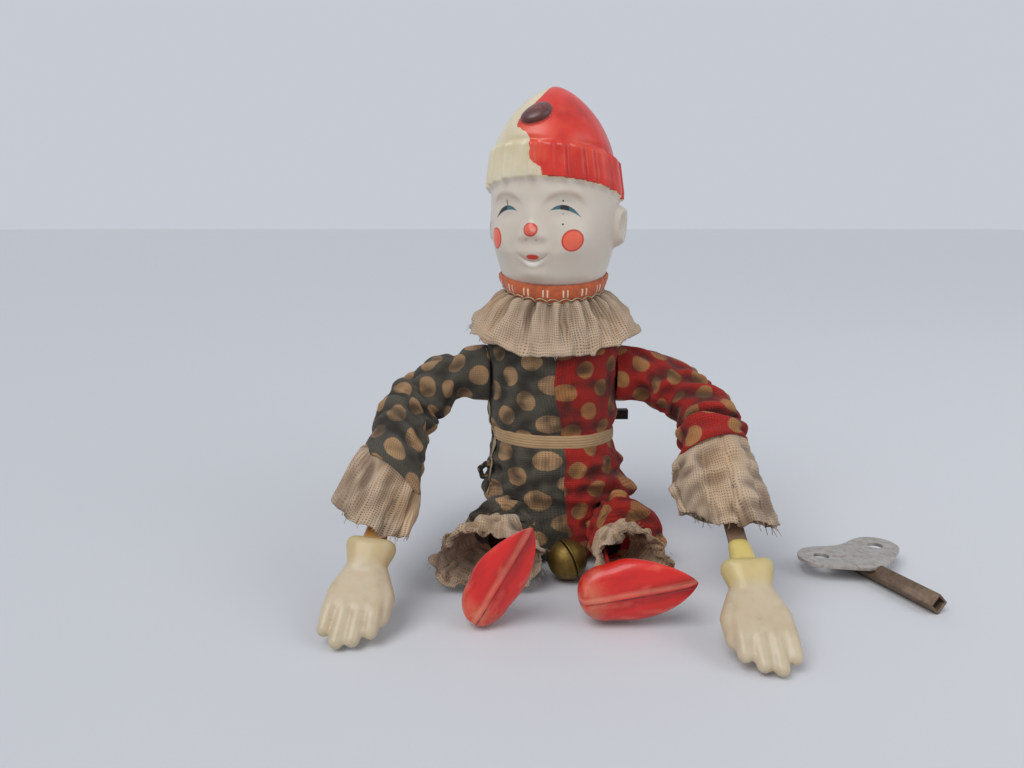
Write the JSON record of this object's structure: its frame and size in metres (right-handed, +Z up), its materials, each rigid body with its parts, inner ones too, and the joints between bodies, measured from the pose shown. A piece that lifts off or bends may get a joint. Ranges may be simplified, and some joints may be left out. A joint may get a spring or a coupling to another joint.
{
  "type": "clockwork tumbling clown toy",
  "caption": "Seated wind-up clown in a halved spotted suit with ruff and gauze frills; its clockwork swings both arms to throw it over, and a loose key winds it.",
  "frame": {"origin": "on the floor, on the upright axis of the toy's body, in the middle of the seat that it rests on", "axes": "+Z up; the toy faces -Y; +X is the toy's own left, the side of the red cloth and the winding square"},
  "size_m": [0.1581, 0.1007, 0.1344],
  "materials": {
    "tin_plate": "dull tinned sheet",
    "wheel_brass": "stamped brass, aged",
    "spring_steel": "oiled steel wire and strip",
    "grey_cloth": "dull cotton with printed spots",
    "red_cloth": "dull cotton with printed spots",
    "gauze": "aged open gauze",
    "belt_tape": "woven cotton tape",
    "braid": "woven braid with metal thread",
    "face_celluloid": "painted celluloid, satin",
    "hand_celluloid": "bare celluloid, satin",
    "red_celluloid": "dyed celluloid, glossy",
    "painted_strip": "painted tin strip",
    "neck_wood": "turned wood",
    "bell_brass": "tarnished brass",
    "black_steel": "blackened steel",
    "key_steel": "nickelled steel, worn"
  },
  "bodies": {
    "torso": {"casing_front": "tin_plate", "casing_back": "tin_plate", "side_plate_left": "tin_plate", "side_plate_right": "tin_plate", "plate_pillars": "wheel_brass", "mainspring": "spring_steel", "neck_spigot": "tin_plate", "hip_wire": "spring_steel", "suit_grey": "grey_cloth", "suit_red": "red_cloth", "belt": "belt_tape", "ruff": "gauze", "neck_braid": "braid", "bell_staple": "spring_steel"},
    "arms": {"arm_axle": "spring_steel", "arm_pinion": "wheel_brass", "arm_strip_left": "painted_strip", "arm_strip_right": "painted_strip", "sleeve_left": "red_cloth", "sleeve_right": "grey_cloth", "cuff_left": "gauze", "cuff_right": "gauze", "hand_left": "hand_celluloid", "hand_right": "hand_celluloid"},
    "great_wheel": {"great_wheel": "wheel_brass", "click_spring": "spring_steel"},
    "winder": {"winding_arbor": "black_steel", "ratchet_wheel": "spring_steel"},
    "second": {"second_arbor": "spring_steel", "second_pinion": "wheel_brass", "second_wheel": "wheel_brass"},
    "escape": {"escape_arbor": "spring_steel", "escape_pinion": "wheel_brass", "escape_wheel": "wheel_brass"},
    "verge": {"verge_arbor": "spring_steel", "verge": "spring_steel"},
    "head": {"head": "face_celluloid", "neck_bush": "neck_wood"},
    "left_leg": {"leg_strip_left": "painted_strip", "trouser_left": "red_cloth", "frill_left": "gauze"},
    "right_leg": {"leg_strip_right": "painted_strip", "trouser_right": "grey_cloth", "frill_right": "gauze"},
    "left_foot": {"shoe_left": "red_celluloid"},
    "right_foot": {"shoe_right": "red_celluloid"},
    "bell": {"bell_upper": "bell_brass", "bell_lower": "bell_brass"},
    "pellet": {"bell_pellet": "spring_steel"},
    "key": {"key_wing": "key_steel", "key_shank": "key_steel"}
  },
  "joints": [
    {"name": "arms_turn", "type": "hinge", "parent": "torso", "child": "arms", "pos_m": [0, 0, 0.0535], "axis": [-1, 0, 0], "continuous": true},
    {"name": "great_wheel_turn", "type": "hinge", "parent": "torso", "child": "great_wheel", "pos_m": [0, 0.002, 0.04045], "axis": [-1, 0, 0], "continuous": true, "deforming": ["mainspring"]},
    {"name": "winder_turn", "type": "hinge", "parent": "great_wheel", "child": "winder", "pos_m": [0, 0.002, 0.04045], "axis": [-1, 0, 0], "continuous": true, "deforming": ["mainspring", "click_spring"]},
    {"name": "second_turn", "type": "hinge", "parent": "torso", "child": "second", "pos_m": [0, -0.0015, 0.02772], "axis": [-1, 0, 0], "continuous": true},
    {"name": "escape_turn", "type": "hinge", "parent": "torso", "child": "escape", "pos_m": [0, 0.001, 0.01908], "axis": [-1, 0, 0], "continuous": true},
    {"name": "verge_rock", "type": "hinge", "parent": "torso", "child": "verge", "pos_m": [0, 0.0075, 0.01442], "axis": [-1, 0, 0], "range_deg": [-5, 5]},
    {"name": "head_turn", "type": "hinge", "parent": "torso", "child": "head", "pos_m": [0, 0, 0.071], "axis": [0, 0, 1], "range_deg": [-22, 68]},
    {"name": "left_hip", "type": "hinge", "parent": "torso", "child": "left_leg", "pos_m": [0, -0.003, 0.009], "axis": [1, 0, 0], "range_deg": [-3, 85]},
    {"name": "right_hip", "type": "hinge", "parent": "torso", "child": "right_leg", "pos_m": [0, -0.003, 0.009], "axis": [1, 0, 0], "range_deg": [-3, 85]},
    {"name": "left_ankle", "type": "hinge", "parent": "left_leg", "child": "left_foot", "pos_m": [0.0128, -0.047, 0.009], "axis": [0, -1, 0], "range_deg": [-10, 75]},
    {"name": "right_ankle", "type": "hinge", "parent": "right_leg", "child": "right_foot", "pos_m": [-0.01742, -0.047, 0.009], "axis": [0, -1, 0], "range_deg": [-15, 60]},
    {"name": "bell_swing", "type": "hinge", "parent": "torso", "child": "bell", "pos_m": [0.0032, -0.01996, 0.0063], "axis": [1, 0, 0], "range_deg": [-50, 65]},
    {"name": "pellet_rattle", "type": "slide", "parent": "bell", "child": "pellet", "axis": [0, 0, 1], "range_m": [0, 0.006]},
    {"name": "key_lift", "type": "slide", "parent": "torso", "child": "key", "axis": [0, 0, 1], "range_m": [0, 0.06]}
  ],
  "couplings": [
    {"joint": "great_wheel_turn", "follows": "arms_turn", "ratio": -0.33333},
    {"joint": "second_turn", "follows": "arms_turn", "ratio": 1},
    {"joint": "escape_turn", "follows": "arms_turn", "ratio": -3}
  ]
}
